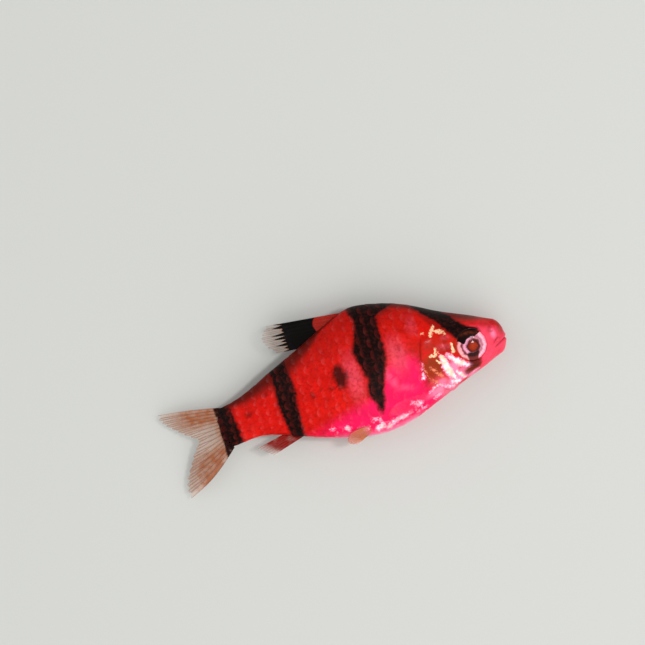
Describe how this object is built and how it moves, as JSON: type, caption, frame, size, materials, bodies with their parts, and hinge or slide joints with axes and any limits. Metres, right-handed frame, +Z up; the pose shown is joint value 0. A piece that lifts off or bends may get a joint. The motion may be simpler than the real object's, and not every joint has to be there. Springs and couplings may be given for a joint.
{
  "type": "tiger barb",
  "caption": "Still, life-size model of a small deep-bodied freshwater fish, red with black bars, lying on its left side.",
  "frame": {"origin": "on the floor, under the middle of the fish's box as it lies", "axes": "+X towards the head, +Y towards the back, +Z up, out of the right flank"},
  "size_m": [0.0484, 0.019, 0.0076],
  "materials": {
    "skin": "wet scaled skin, red with black bars",
    "gill_cover": "wet, silvery gold over red",
    "eye": "glassy",
    "fin": "thin rayed membrane, brownish red",
    "dark_fin": "thin rayed membrane, black with a clear edge"
  },
  "bodies": {
    "root": {"head": "skin", "lower_jaw": "skin", "gill_cover_right": "gill_cover", "gill_cover_left": "gill_cover", "eye_right": "eye", "eye_left": "eye", "trunk": "skin", "tail_stalk": "skin", "dorsal_fin": "dark_fin", "anal_fin": "fin", "tail_fin_upper": "fin", "tail_fin_lower": "fin", "pectoral_fin_right": "fin", "pectoral_fin_left": "fin", "pelvic_fin_right": "fin", "pelvic_fin_left": "fin"}
  },
  "joints": []
}
